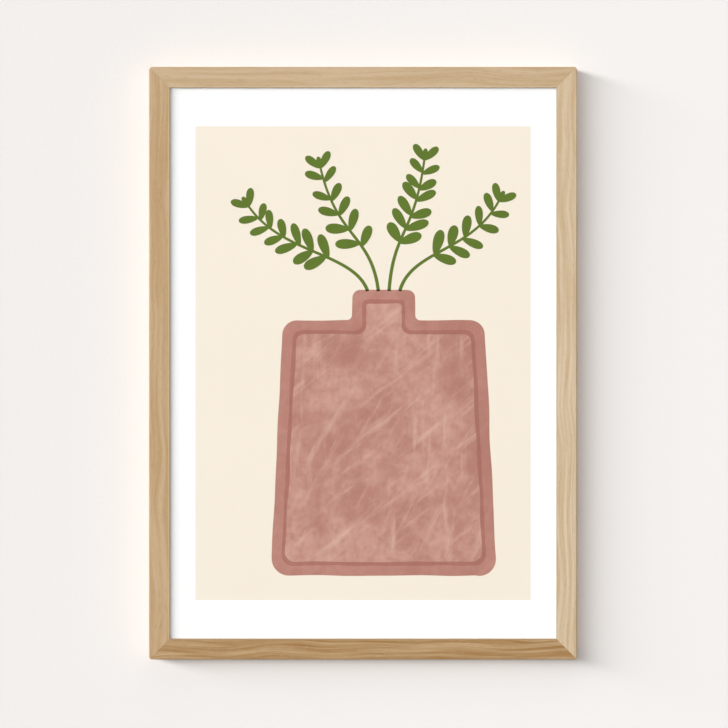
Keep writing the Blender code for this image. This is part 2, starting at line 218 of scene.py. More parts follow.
class Finish:
    """A material as it is built: its node tree, its Principled shader, and short ways to add to it."""

    def __init__(self, name, roughness=0.5, metallic=0.0):
        self.material = bpy.data.materials.new(name)
        self.material.use_nodes = True
        self.tree = self.material.node_tree
        self.shader = self.tree.nodes["Principled BSDF"]
        self.shader.inputs["Roughness"].default_value = roughness
        self.shader.inputs["Metallic"].default_value = metallic
        self.where = self.add("ShaderNodeTexCoord").outputs["Object"]

    def add(self, kind, inputs=(), **settings):
        node = self.tree.nodes.new(kind)
        for key, value in settings.items():
            setattr(node, key, value)
        for key, value in dict(inputs).items():
            self.feed(node.inputs[key], value)
        return node

    def feed(self, socket, value):
        if isinstance(value, bpy.types.NodeSocket):
            self.tree.links.new(value, socket)
        else:
            socket.default_value = value

    def set(self, **inputs):
        """Feed the shader's sockets; a name's underscores stand for spaces."""
        for key, value in inputs.items():
            self.feed(self.shader.inputs[key.replace("_", " ")], value)

    def feed_all(self, sockets, values):
        """Feed the first of these sockets, one for each value."""
        for socket, value in zip(sockets, values):
            self.feed(socket, value)

    def maths(self, operation, *values):
        node = self.add("ShaderNodeMath", operation=operation)
        self.feed_all(node.inputs, values)
        return node.outputs[0]

    def vector(self, operation, *values):
        node = self.add("ShaderNodeVectorMath", operation=operation)
        self.feed_all(node.inputs, values)
        return node.outputs["Value" if operation in ("DISTANCE", "DOT_PRODUCT") else "Vector"]

    def mixed_shaders(self, share, first, second):
        """Show two shaders mixed in place of the Principled one."""
        node = self.add("ShaderNodeMixShader")
        self.feed_all(node.inputs, (share, first, second))
        self.feed(self.tree.nodes["Material Output"].inputs["Surface"], node.outputs[0])

    def noise(self, grains, where=None, seed=0.0, detail=3.0, roughness=0.5, turn=(0, 0, 0)):
        """Noise whose grains have these sizes along X, Y and Z, in metres."""
        place = self.add("ShaderNodeMapping", {
            "Vector": where or self.where,
            "Location": (seed * 3.7, seed * 5.1, seed * 7.3),
            "Scale": tuple(1 / grain for grain in grains),
        })
        if any(turn):
            turned = self.add("ShaderNodeMapping", {"Vector": where or self.where, "Rotation": turn})
            self.feed(place.inputs["Vector"], turned.outputs[0])
        node = self.add("ShaderNodeTexNoise", {
            "Vector": place.outputs[0], "Scale": 1.0, "Detail": detail, "Roughness": roughness})
        return node.outputs["Fac"]

    def spread(self, value, low, high, to_low=0.0, to_high=1.0):
        """A value's range from low to high, eased over another range and clamped to it."""
        node = self.add("ShaderNodeMapRange", {
            "Value": value, "From Min": low, "From Max": high, "To Min": to_low, "To Max": to_high},
            interpolation_type="SMOOTHSTEP")
        return node.outputs[0]

    def mix(self, share, first, second):
        """Two colours mixed; either one may be a socket."""
        node = self.add("ShaderNodeMix", data_type="RGBA")
        sockets = [socket for socket in node.inputs if socket.enabled]
        self.feed_all(sockets, [(*value, 1) if isinstance(value, tuple) else value
                                for value in (share, first, second)])
        return next(socket for socket in node.outputs if socket.enabled)

    def bump(self, height, depth, strength=1.0):
        """Raise the surface by a value from 0 to 1, this deep in metres."""
        node = self.add("ShaderNodeBump", {"Height": height, "Distance": depth, "Strength": strength})
        earlier = self.shader.inputs["Normal"].links
        if earlier:
            self.feed(node.inputs["Normal"], earlier[0].from_socket)
        self.feed(self.shader.inputs["Normal"], node.outputs[0])


def scaled(colour, *factors):
    """A colour times one factor, or times one for each of red, green and blue."""
    factors = factors if len(factors) == 3 else factors * 3
    return tuple(part * factor for part, factor in zip(colour, factors))


def oak(name, colour, figure, edge, seed):
    """Oiled oak with its grain along X: wandering growth lines, pores, rays, and outer arrises darkened
    partly by wear and partly by painted shade.

    The edge is the tone of its sight arris, as a share of its face's: above 1 it is painted light on an
    arris that turns from the key light, below 1 it is painted shade.
    """
    finish = Finish("oak_" + name)
    bend = finish.noise((0.075, 0.030, 0.030), seed=seed, detail=1.0)
    shift = finish.add("ShaderNodeCombineXYZ", {
        "Z": finish.maths("MULTIPLY_ADD", bend, GRAIN_BEND, -GRAIN_BEND / 2)}).outputs[0]
    grain = finish.vector("ADD", finish.where, shift)
    growth = finish.noise((0.110, 0.0032, 0.0030), grain, seed + 1, detail=4.0, roughness=0.55)
    streak = finish.noise((0.030, 0.0012, 0.0009), grain, seed + 2, detail=3.0)
    cloud = finish.noise((0.040, 0.012, 0.008), seed=seed + 3, detail=2.0)
    pore = finish.noise((0.0060, 0.00045, 0.00035), grain, seed + 4, detail=2.0)
    ray = finish.noise((0.0040, 0.0016, 0.0016), grain, seed + 5, detail=1.0)

    dark = scaled(colour, 1 - 0.21 * figure, 1 - 0.32 * figure, 1 - 0.50 * figure)
    light = scaled(colour, 1 + 0.13 * figure, 1 + 0.19 * figure, 1 + 0.32 * figure)
    shade = finish.mix(finish.spread(growth, 0.34, 0.66), dark, light)
    shade = finish.mix(finish.spread(streak, 0.35, 0.70, 0.0, 0.30 * figure), shade, dark)
    shade = finish.mix(finish.spread(cloud, 0.40, 0.70, 0.0, 0.35), shade, colour)
    shade = finish.mix(finish.spread(ray, 0.64, 0.72, 0.0, 0.22), shade, light)
    pores = finish.spread(pore, 0.60, 0.70)
    shade = finish.mix(finish.maths("MULTIPLY", pores, 0.38), shade, scaled(colour, 0.55, 0.45, 0.34))

    wear_and_shade = arris_wear_and_shade(finish, seed)
    # Darker along the outer arrises: partly wear, partly painted shade of the rounded front edges
    shade = finish.mix(wear_and_shade, shade, scaled(colour, 0.90, 0.80, 0.62))
    # Painted light along the sight arris of the left and top rails, painted shade along that of the right
    # and bottom ones
    shade = finish.mix(painted_sight_light(finish), shade, scaled(colour, edge))
    finish.set(Base_Color=shade)
    rough = finish.spread(streak, 0.3, 0.7, 0.50, 0.64)
    finish.set(Roughness=finish.maths("SUBTRACT", rough, finish.maths("MULTIPLY", wear_and_shade, 0.12)))
    finish.bump(streak, 0.00004, 0.5)
    finish.bump(finish.maths("SUBTRACT", 1.0, pores), 0.00010, 0.6)
    return finish.material


def arris_wear_and_shade(finish, seed):
    """How much a rail is darkened along its front and back outer arrises: wear and oil, and on the front
    arris also painted shade where its rounding turns from the light.
    """
    section = finish.vector("MULTIPLY", finish.where, (0, 1, 1))
    waver = finish.noise((0.012, 0.003, 0.003), seed=seed + 6)
    ragged = finish.maths("MULTIPLY_ADD", waver, 0.0010, -0.0005)
    wear_and_shade = None
    for arris, most in (((0, 0, 0), 0.22), ((0, RAIL_DEPTH, 0), 0.45)):
        away = finish.maths("ADD", finish.vector("DISTANCE", section, arris), ragged)
        near = finish.spread(away, 0.0018, 0.0005, 0.0, most)
        wear_and_shade = near if wear_and_shade is None else finish.maths("MAXIMUM", wear_and_shade, near)
    return wear_and_shade


def painted_sight_light(finish):
    """How near a place is to the arris that the picture is seen past: where the painted light and shade
    of that arris go.
    """
    section = finish.vector("MULTIPLY", finish.where, (0, 1, 1))
    away = finish.vector("DISTANCE", section, (0, 0, -FACE_WIDTH))
    return finish.spread(away, 0.0012, 0.0006, 0.0, 0.85)


def acrylic():
    """A clear picture pane: what is behind it shows, and its outer faces mirror more at low angles."""
    finish = Finish("clear_acrylic")
    haze = finish.noise((0.05, 0.05, 0.05), detail=4.0, roughness=0.6)
    clear = finish.add("ShaderNodeBsdfTransparent", {"Color": (0.996, 0.998, 0.997, 1)})
    shine = finish.add("ShaderNodeBsdfGlossy", {"Roughness": finish.spread(haze, 0.35, 0.75, 0.02, 0.09)})
    facing = finish.add("ShaderNodeFresnel", {"IOR": 1.22}).outputs[0]
    inner = finish.add("ShaderNodeNewGeometry").outputs["Backfacing"]
    mirrored = finish.maths("MULTIPLY", facing, finish.maths("SUBTRACT", 1.0, inner))
    finish.mixed_shaders(mirrored, clear.outputs[0], shine.outputs[0])
    finish.tree.nodes.remove(finish.shader)
    return finish.material


def sheet_material(name, colour, variation=0.01):
    """Matt art paper, bare or under a flat layer of ink: a fine tooth and small changes of tone."""
    finish = Finish(name)
    tooth = finish.noise((0.0006, 0.0006, 0.0006), detail=3.0)
    cloud = finish.noise((0.06, 0.06, 0.06), detail=3.0)
    shade = finish.mix(finish.spread(cloud, 0.3, 0.7), colour, scaled(colour, 1 - variation))
    shade = finish.mix(finish.spread(tooth, 0.35, 0.65, 0.0, variation), shade, scaled(colour, 0.8))
    finish.set(Base_Color=shade, Roughness=finish.spread(tooth, 0.3, 0.7, 0.78, 0.90))
    finish.bump(tooth, 0.00002, 0.5)
    return finish.material


def brushed_ink(name, light, dark, strokes):
    """Ink laid on with a dry brush: blotches, and paler strokes at three slants."""
    finish = Finish(name)
    cloud = finish.noise((0.030, 0.030, 0.030), seed=2, detail=5.0, roughness=0.62)
    patch = finish.noise((0.007, 0.007, 0.007), seed=3, detail=4.0, roughness=0.6)
    shade = finish.mix(finish.spread(cloud, 0.32, 0.66), dark, light)
    shade = finish.mix(finish.spread(patch, 0.35, 0.70, 0.0, 0.55), shade, dark)
    pale = scaled(light, 1.20, 1.38, 1.43)
    for number, slant in enumerate((38, 62, 88)):
        turn = (0, radians(slant), 0)
        stroke = finish.noise((0.060, 0.020, 0.0080), seed=4 + 3 * number, detail=3.5,
                              roughness=0.6, turn=turn)
        bristle = finish.noise((0.040, 0.010, 0.0020), seed=5 + 3 * number, detail=2.0, turn=turn)
        bright = finish.maths("MULTIPLY", finish.spread(stroke, 0.54, 0.74),
                              finish.spread(bristle, 0.30, 0.66, 0.45, 1.0))
        shade = finish.mix(finish.maths("MULTIPLY", bright, strokes), shade, pale)
    tooth = finish.noise((0.0006, 0.0006, 0.0006), seed=6, detail=3.0)
    raised = scaled(light, 1.15, 1.25, 1.30)
    shade = finish.mix(finish.spread(tooth, 0.35, 0.70, 0.0, 0.12), shade, raised)
    finish.set(Base_Color=shade, Roughness=finish.spread(patch, 0.3, 0.7, 0.74, 0.88))
    finish.bump(tooth, 0.00002, 0.5)
    return finish.material


def foam_board():
    """Foam board: paper faces, and an edge of fine closed cells."""
    finish = Finish("foam_board", roughness=0.8)
    cell_size = 0.0007
    cells = finish.add("ShaderNodeTexVoronoi", {
        "Vector": finish.where, "Scale": 1 / cell_size}).outputs[0]
    shade = finish.mix(finish.spread(cells, 0.1, 0.6, 0.0, 0.2), (0.90, 0.90, 0.88), (0.72, 0.72, 0.70))
    finish.set(Base_Color=shade, Roughness=finish.spread(cells, 0, 0.6, 0.70, 0.88))
    finish.bump(cells, 0.0001, 0.5)
    return finish.material


def corrugated_board():
    """Brown board with upright flutes that show through its liner, and pulp flecks."""
    finish = Finish("corrugated_board", roughness=0.85)
    flute_pitch = 0.0072
    flutes = finish.add("ShaderNodeTexWave", {
        "Vector": finish.where, "Scale": 1 / flute_pitch / 3.14, "Distortion": 0.4, "Detail": 1.0},
        wave_type="BANDS", bands_direction="X").outputs["Fac"]
    flecks = finish.noise((0.0012, 0.0012, 0.0030), seed=1, detail=3.0)
    shade = finish.mix(finish.spread(flecks, 0.35, 0.70), (0.46, 0.31, 0.18), (0.54, 0.38, 0.24))
    shade = finish.mix(finish.maths("MULTIPLY", flutes, 0.12), shade, (0.38, 0.25, 0.14))
    finish.set(Base_Color=shade, Roughness=finish.spread(flecks, 0.3, 0.7, 0.78, 0.92))
    finish.bump(flutes, 0.00008, 0.4)
    return finish.material


def hardboard():
    """Pressed hardboard: matted dark fibres, pale flecks, and a rubbed surface."""
    finish = Finish("hardboard", roughness=0.6)
    mat = finish.noise((0.0030, 0.0030, 0.0030), seed=1, detail=6.0, roughness=0.68)
    cloud = finish.noise((0.070, 0.070, 0.070), seed=2, detail=3.0)
    across = finish.noise((0.0050, 0.0006, 0.0006), seed=3, detail=2.0, turn=(0, radians(28), 0))
    along = finish.noise((0.0006, 0.0006, 0.0050), seed=4, detail=2.0, turn=(0, radians(12), 0))
    fleck = finish.maths("MAXIMUM", finish.spread(across, 0.64, 0.72), finish.spread(along, 0.65, 0.73))
    shade = finish.mix(finish.spread(mat, 0.32, 0.68), (0.222, 0.132, 0.073), (0.285, 0.176, 0.101))
    shade = finish.mix(finish.spread(cloud, 0.35, 0.65, 0.0, 0.35), shade, (0.27, 0.165, 0.095))
    shade = finish.mix(finish.maths("MULTIPLY", fleck, 0.40), shade, (0.46, 0.33, 0.21))
    finish.set(Base_Color=shade, Roughness=finish.spread(mat, 0.3, 0.7, 0.48, 0.68))
    finish.bump(mat, 0.00005, 0.6)
    return finish.material


def steel(name, colour, low, high):
    """Plated or sprung steel: a mottled plate, fine scratches, and roughness that changes with both."""
    finish = Finish(name, metallic=1.0)
    mottle = finish.noise((0.0020, 0.0020, 0.0020), seed=1, detail=4.0)
    scratch = finish.noise((0.0040, 0.0003, 0.00012), seed=2, detail=2.0, turn=(0, radians(35), 0))
    shade = finish.mix(finish.spread(mottle, 0.3, 0.7), colour, scaled(colour, 0.82, 0.83, 0.86))
    shade = finish.mix(finish.spread(scratch, 0.66, 0.76, 0.0, 0.35), shade, scaled(colour, 1.2))
    rough = finish.spread(mottle, 0.3, 0.7, low, high)
    finish.set(Base_Color=shade, Roughness=rough)
    finish.bump(scratch, 0.00001, 0.6)
    finish.bump(mottle, 0.00002, 0.4)
    return finish.material


def rubber():
    """Matt black rubber with a fine moulded grain and a little dust."""
    finish = Finish("rubber", roughness=0.8)
    grain = finish.noise((0.0004, 0.0004, 0.0004), detail=2.0)
    dust = finish.noise((0.003, 0.003, 0.003), seed=1, detail=4.0)
    black, dusty = (0.028, 0.028, 0.029), (0.11, 0.105, 0.10)
    shade = finish.mix(finish.spread(dust, 0.5, 0.75, 0.0, 0.3), black, dusty)
    finish.set(Base_Color=shade, Roughness=finish.spread(grain, 0.3, 0.7, 0.62, 0.82))
    finish.bump(grain, 0.00003, 0.7)
    return finish.material


def painted_wall():
    """Matt wall paint with a roller's faint texture, and painted light that evens out the key light's
    falloff: a little darker to the frame's upper left and paler to its lower right.

    It doesn't show from behind.
    """
    finish = Finish("painted_wall", roughness=0.9)
    roller = finish.noise((0.0025, 0.0025, 0.0025), detail=3.0)
    place = finish.vector("SUBTRACT", finish.where, tuple(CENTRE))
    # Painted light that evens out the key light's falloff across the wall
    across = finish.spread(finish.vector("DOT_PRODUCT", place, (1, 0, -0.5)), -0.35, 0.35)
    upper_left, lower_right = (scaled(WALL_TONE, share) for share in WALL_PAINTED_LIGHT_GRADE)
    shade = finish.mix(across, upper_left, lower_right)
    shade = finish.mix(finish.spread(roller, 0.3, 0.7, 0.0, 0.12), shade, scaled(WALL_TONE, 1.094))
    finish.set(Base_Color=shade, Specular_IOR_Level=0.1)
    finish.bump(roller, 0.00003, 0.4)
    behind = finish.add("ShaderNodeNewGeometry").outputs["Backfacing"]
    clear = finish.add("ShaderNodeBsdfTransparent").outputs[0]
    finish.mixed_shaders(behind, finish.shader.outputs[0], clear)
    return finish.material


def pale_floor():
    """A matt floor with faint clouds of tone."""
    finish = Finish("pale_floor", roughness=0.8)
    cloud = finish.noise((0.3, 0.3, 0.3), detail=3.0)
    shade = finish.mix(finish.spread(cloud, 0.3, 0.7), (0.76, 0.74, 0.72), (0.79, 0.77, 0.75))
    finish.set(Base_Color=shade, Specular_IOR_Level=0.1)
    return finish.material


# Shapes

def arc(first, second, radius, start, end, steps):
    """Points on a circle about (first, second), from one angle to another, both included."""
    angles = [start + (end - start) * step / steps for step in range(steps + 1)]
    return [(first + radius * cos(angle), second + radius * sin(angle)) for angle in angles]


def made(work, name):
    """A bmesh as a mesh, with its normals outwards and its shading set."""
    bmesh.ops.recalc_face_normals(work, faces=work.faces)
    mesh = bpy.data.meshes.new(name)
    work.to_mesh(mesh)
    work.free()
    shade(mesh)
    return mesh


def shade(mesh):
    """Smooth shading, and sharp edges where it turns."""
    mesh.shade_smooth()
    mesh.set_sharp_from_angle(angle=radians(SHARP_DEGREES))


def piece(name, mesh, material, body, place=(0, 0, 0), turn=0.0):
    """Put a mesh in the scene as a piece that rides on a body."""
    mesh.materials.clear()
    mesh.materials.append(material)
    shown = bpy.data.objects.new(name, mesh)
    shown.location = place
    shown.rotation_euler.y = turn
    bpy.context.scene.collection.objects.link(shown)
    flats = shown.modifiers.new("flat faces stay flat", "WEIGHTED_NORMAL")
    flats.keep_sharp = True
    flats.weight = 100
    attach(shown, body)
    return shown


def evaluated(shown):
    """A new mesh of an object as its modifiers and curve settings leave it."""
    bpy.context.view_layer.update()
    return bpy.data.meshes.new_from_object(
        shown.evaluated_get(bpy.context.evaluated_depsgraph_get()))


def boolean(mesh, cutters, operation="DIFFERENCE"):
    """A new mesh: one mesh cut by, or joined to, others."""
    target = bpy.data.objects.new("target", mesh)
    bpy.context.scene.collection.objects.link(target)
    tools = []
    for cutter in cutters:
        tool = bpy.data.objects.new("tool", cutter)
        bpy.context.scene.collection.objects.link(tool)
        tools.append(tool)
        modifier = target.modifiers.new("cut", "BOOLEAN")
        modifier.operation = operation
        modifier.solver = "EXACT"
        modifier.object = tool
    result = evaluated(target)
    for spare in (target, *tools):
        bpy.data.objects.remove(spare)
    shade(result)
    return result


def rail_profile():
    """The moulding's section, as (depth, inset) points: inset is from the frame's outer edge."""
    sight = FACE_WIDTH - SIGHT_ROUND
    back = RAIL_DEPTH - BACK_ROUND
    return [
        *arc(FRONT_ROUND, FRONT_ROUND, FRONT_ROUND, -pi / 2, -pi, ROUND_STEPS),
        *arc(SIGHT_ROUND, sight, SIGHT_ROUND, pi, pi / 2, ROUND_STEPS),
        (LIP_DEPTH, FACE_WIDTH),
        (LIP_DEPTH, BACK_WIDTH),
        (RAIL_DEPTH - REBATE_EASE, BACK_WIDTH),
        (RAIL_DEPTH, BACK_WIDTH - REBATE_EASE),
        *arc(back, BACK_ROUND, BACK_ROUND, 0, -pi / 2, ROUND_STEPS),
    ]


def corner_point(inset, step):
    """A line of the section where it turns the corner: (back from the rail's end, height)."""
    if inset < CORNER_RADIUS:
        angle = pi / 4 + pi / 4 * step / CORNER_STEPS
        radius = CORNER_RADIUS - inset
        return CORNER_RADIUS - radius * cos(angle), radius * sin(angle) - CORNER_RADIUS
    return inset + CORNER_RADIUS * step / CORNER_STEPS, -inset


def rail_mesh(length):
    """A mitred rail along X, its front at y = 0 and its outer edge at z = 0."""
    half = length / 2 - MITRE_GAP / sqrt(2)
    work = bmesh.new()
    rows = []
    for depth, inset in rail_profile():
        ends = [corner_point(inset, step) for step in range(CORNER_STEPS + 1)]
        left = [(back - half, height) for back, height in ends]
        right = [(half - back, height) for back, height in reversed(ends)]
        start, stop = left[-1][0], right[0][0]
        middle = [(start + (stop - start) * span / SPANS, -inset) for span in range(1, SPANS)]
        points = left + middle + right
        rows.append([work.verts.new((along, depth, height)) for along, height in points])
    for row, following in zip(rows, rows[1:] + rows[:1]):
        for spot in range(len(row) - 1):
            work.faces.new((row[spot], row[spot + 1], following[spot + 1], following[spot]))
    work.faces.new([row[0] for row in rows])
    work.faces.new([row[-1] for row in reversed(rows)])
    return made(work, "rail")


def box_middle(node):
    """The middle of a CAD node's box."""
    low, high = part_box(node)
    return (low + high) / 2


def slot_cutter(node):
    """A cutter for a V-nail's slot: the nail, a little swollen, run out past the rails' backs."""
    work = bmesh.new()
    work.from_mesh(NODES[node].data)
    bmesh.ops.remove_doubles(work, verts=work.verts, dist=WELD)
    work.normal_update()
    middle = box_middle(node).y
    for vert in work.verts:
        vert.co += vert.normal * SLOT_ROOM
        if vert.co.y > middle:
            vert.co.y = OUTER_HIGH.y + PAST
    return made(work, "slot_cutter")


def pilot_cutter(node):
    """A cutter for the hole that a screw goes into."""
    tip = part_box(node)[0].y
    depth = OUTER_HIGH.y + PAST - tip
    work = bmesh.new()
    bmesh.ops.create_cone(work, cap_ends=True, segments=PILOT_STEPS, radius1=PILOT_RADIUS,
                          radius2=PILOT_RADIUS, depth=depth, matrix=Matrix.Rotation(pi / 2, 4, "X"))
    middle = box_middle(node)
    middle.y = tip + depth / 2
    bmesh.ops.translate(work, vec=middle, verts=work.verts)
    return made(work, "pilot_cutter")


def rail(side, material):
    """One rail in its place, with its slots and pilot holes."""
    turn, length, reach = SIDES[side]
    place = Matrix.Translation((CENTRE.x, OUTER_LOW.y, CENTRE.z))
    place = place @ Matrix.Rotation(turn, 4, "Y") @ Matrix.Translation((0, 0, reach))
    cutters = [slot_cutter(node) for node in NODES if node.startswith("v_nail_") and side in node]
    cutters += [pilot_cutter(node) for node in NODES if node.startswith("button_screw_" + side)]
    for cutter in cutters:
        cutter.transform(place.inverted())
    mesh = boolean(rail_mesh(length), cutters)
    shown = piece("moulding_" + side, mesh, material, "frame", place.translation, turn)
    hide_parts("rail_" + side)


def filled(name, outlines, thickness, edge):
    """A flat plate along Y with rolled edges: an outline of (x, z) points, then its holes."""
    curve = bpy.data.curves.new(name, "CURVE")
    curve.dimensions = "2D"
    curve.fill_mode = "BOTH"
    curve.extrude = thickness / 2 - edge
    curve.bevel_depth = edge
    curve.bevel_resolution = 3
    curve.offset = -edge
    for outline in outlines:
        spline = curve.splines.new("POLY")
        spline.points.add(len(outline) - 1)
        for point, (x, z) in zip(spline.points, outline):
            point.co = (x, z, 0, 1)
        spline.use_cyclic_u = True
    shape = bpy.data.objects.new(name, curve)
    bpy.context.scene.collection.objects.link(shape)
    mesh = evaluated(shape)
    bpy.data.objects.remove(shape)
    work = bmesh.new()
    work.from_mesh(mesh)
    bmesh.ops.remove_doubles(work, verts=work.verts, dist=WELD)
    for vert in work.verts:
        x, z, y = vert.co
        vert.co = (x, y + thickness / 2, z)
    return made(work, name)


def button_mesh():
    """A turn button: a plate with round ends, pierced for its screw, with a pressed rib."""
    radius = BUTTON_WIDTH / 2
    straight = BUTTON_LENGTH - BUTTON_WIDTH
    outline = arc(0, 0, radius, 0, pi, END_STEPS)
    outline += arc(0, -straight, radius, pi, 2 * pi, END_STEPS)
    hole = arc(0, 0, BUTTON_HOLE, 0, 2 * pi, HOLE_STEPS)[:-1]
    plate = filled("turn_button", [outline, hole], BUTTON_THICK, BUTTON_EDGE)
    work = bmesh.new()
    bmesh.ops.create_uvsphere(work, u_segments=RIB_SEGMENTS, v_segments=RIB_RINGS, radius=1)
    bmesh.ops.scale(work, vec=RIB_HALF, verts=work.verts)
    bmesh.ops.translate(work, vec=(0, BUTTON_THICK - RIB_HALF[1] / 4, -RIB_REACH), verts=work.verts)
    return boolean(plate, [made(work, "rib")], "UNION")


def turn_buttons(material):
    """A finer shape for each CAD turn button, on the button's own body."""
    mesh = button_mesh()
    for node in sorted(NODES):
        if not node.startswith("turn_button_"):
            continue
        name = node.removeprefix("turn_button_")
        place = box_middle("button_screw_" + name)
        place.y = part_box(node)[0].y
        turn = SIDES[name.split("_")[0]][0]
        shown = piece("pressed_button_" + name, mesh, material, node, place, turn)
        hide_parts(node)


def refined(node, material, ease):
    """The CAD node's own shape for show: welded, its flat faces whole, its edges eased."""
    work = bmesh.new()
    work.from_mesh(NODES[node].data)
    bmesh.ops.remove_doubles(work, verts=work.verts, dist=WELD)
    bmesh.ops.dissolve_limit(work, angle_limit=radians(FLAT_DEGREES), verts=work.verts, edges=work.edges)
    sharp = [edge for edge in work.edges
             if len(edge.link_faces) == 2 and edge.calc_face_angle() > radians(EASED_DEGREES)]
    bmesh.ops.bevel(work, geom=sharp, offset=ease, segments=2, profile=0.5, affect="EDGES",
                    clamp_overlap=True)
    shown = piece("eased_" + node, made(work, node), material, NODES[node]["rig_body"])
    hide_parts(node)


# The printed design

def printed(name, outlines, layer, material):
    """Flat printed shapes: outlines of (x, z) points about the frame's centre, some layers proud.

    Shapes that follow each other stand a quarter of a layer apart, as neighbours can overlap.
    """
    work = bmesh.new()
    back = SHEET_FRONT + INK_SUNK
    for spot, outline in enumerate(outlines):
        front = SHEET_FRONT - INK_STEP * (layer + spot % 3 / 4)
        points = [Vector(point) for point in outline]
        face = list(range(len(points)))
        points, _, triangles, *_ = delaunay_2d_cdt(points, [], [face], 1, INK_SEAM)
        verts = [work.verts.new((CENTRE.x + x, front, CENTRE.z + z)) for x, z in points]
        faces = [work.faces.new([verts[corner] for corner in triangle]) for triangle in triangles]
        pushed = bmesh.ops.extrude_face_region(work, geom=faces, use_keep_orig=True)["geom"]
        bmesh.ops.translate(work, vec=(0, back - front, 0),
                            verts=[part for part in pushed if isinstance(part, bmesh.types.BMVert)])
    loose = [vert for vert in work.verts if not vert.link_faces]
    bmesh.ops.delete(work, geom=loose, context="VERTS")
    return piece(name, made(work, name), material, "frame")


def rounded(corners):
    """A closed outline through (x, z, radius) corners, each turned on an arc of its radius."""
    outline = []
    for spot, (x, z, radius) in enumerate(corners):
        corner = Vector((x, z))
        before = (Vector(corners[spot - 1][:2]) - corner).normalized()
        after = (Vector(corners[(spot + 1) % len(corners)][:2]) - corner).normalized()
        half = before.angle(after) / 2
        centre = corner + (before + after).normalized() * (radius / sin(half))
        start = corner + before * (radius / tan(half)) - centre
        stop = corner + after * (radius / tan(half)) - centre
        sweep = start.angle_signed(stop)
        for step in range(ARC_STEPS + 1):
            outline.append(tuple(centre + Matrix.Rotation(-sweep * step / ARC_STEPS, 2) @ start))
    return outline


def drawn_by_hand(outline, seed):
    """An outline cut into short lengths and given the small waver of a drawn line."""
    chance = random.Random(seed)
    waves = [(chance.uniform(0.025, 0.110), chance.uniform(0, 2 * pi)) for _ in range(5)]
    points = []
    for first, second in zip(outline, outline[1:] + outline[:1]):
        first, second = Vector(first), Vector(second)
        steps = max(1, round((second - first).length / OUTLINE_PITCH))
        points += [first.lerp(second, step / steps) for step in range(steps)]
    travelled = 0
    wavered = []
    for before, point, after in zip(points[-1:] + points[:-1], points, points[1:] + points[:1]):
        travelled += (point - before).length
        across = (after - before).orthogonal().normalized()
        waver = sum(sin(2 * pi * travelled / length + phase) for length, phase in waves)
        wavered.append(tuple(point + across * OUTLINE_WOBBLE * waver / len(waves)))
    return wavered


def bottle(inset, seed):
    """The bottle's outline, drawn in from its edge by an inset."""
    foot, shoulder, root, mouth = BOTTLE_ROUNDS
    half = [
        (BOTTLE_BASE[0] - inset, BOTTLE_BASE[1] + inset, foot - inset / 2),
        (BOTTLE_SHOULDER[0] - inset, BOTTLE_SHOULDER[1] - inset, shoulder - inset / 2),
        (BOTTLE_NECK[0] - inset, BOTTLE_SHOULDER[1] - inset, root + inset / 4),
        (BOTTLE_NECK[0] - inset, BOTTLE_NECK[1] - inset, mouth - inset / 3),
    ]
    corners = half + [(-x, z, radius) for x, z, radius in reversed(half)]
    return drawn_by_hand([(x + BOTTLE_MIDDLE, z) for x, z in rounded(corners)], seed)


def leaf(base, direction, length, width):
    """A round-ended leaf's outline from its base, widest past its middle."""
    along = Vector((cos(direction), sin(direction)))
    across = Vector((-along.y, along.x))
    sides = []
    for step in range(LEAF_OUTLINE):
        turn = 2 * pi * step / LEAF_OUTLINE
        reach = (1 - cos(turn)) / 2
        half = width / 2 * sin(turn) * (0.62 + 0.44 * reach)
        sides.append(tuple(base + along * length * reach + across * half))
    return sides


def bezier(points, share):
    """The place and the direction at a share of the way along a cubic curve."""
    first, second, third, last = (Vector(point) for point in points)
    rest = 1 - share
    place = (first * rest ** 3 + second * 3 * rest ** 2 * share
             + third * 3 * rest * share ** 2 + last * share ** 3)
    heading = ((second - first) * rest ** 2 + (third - second) * 2 * rest * share
               + (last - third) * share ** 2)
    return place, heading.normalized()


def stations(curve, count):
    """The shares of a curve at which a number of places stand evenly along its length."""
    places = [bezier(curve, step / CURVE_STEPS)[0] for step in range(CURVE_STEPS + 1)]
    travelled = [0.0]
    for first, second in zip(places, places[1:]):
        travelled.append(travelled[-1] + (second - first).length)
    shares = []
    for number in range(count):
        wanted = travelled[-1] * (LEAVES_FROM + (LEAVES_TO - LEAVES_FROM) * number / (count - 1))
        shares.append(sum(distance < wanted for distance in travelled) / CURVE_STEPS)
    return shares


def angle_of(heading):
    """A direction's angle from the X axis, in radians."""
    return -Vector((1, 0)).angle_signed(heading)


def sprig(name, curve, pairs, seed, material):
    """A stem that tapers along a curve, opposite leaves along it, and three at its tip."""
    chance = random.Random(seed)
    left, right = [], []
    for step in range(STEM_STEPS + 1):
        place, heading = bezier(curve, step / STEM_STEPS)
        half = STEM_WIDTH / 2 * (1 - STEM_TAPER * step / STEM_STEPS)
        across = Vector((-heading.y, heading.x)) * half
        left.append(tuple(place + across))
        right.append(tuple(place - across))
    printed(name + "_stem", [left + right[::-1]], 2, material)
    leaves = []
    for pair, share in enumerate(stations(curve, pairs)):
        place, heading = bezier(curve, share)
        size = 1.04 - 0.24 * pair / (pairs - 1)
        for side in (-1, 1):
            lean = side * radians(chance.uniform(44, 58))
            aim = angle_of(heading) + lean
            base = place + heading * side * chance.uniform(0.0, 0.0015)
            length = LEAF_LENGTH * size * chance.uniform(0.90, 1.06)
            leaves.append(leaf(base, aim, length, LEAF_WIDTH * size * chance.uniform(0.92, 1.06)))
    place, heading = bezier(curve, 1)
    base = place - heading * TIP_BACK
    for lean, size in TIP_LEAVES:
        aim = angle_of(heading) + lean
        leaves.append(leaf(base, aim, LEAF_LENGTH * size, LEAF_WIDTH * size))
    printed(name + "_leaves", leaves, 3, material)


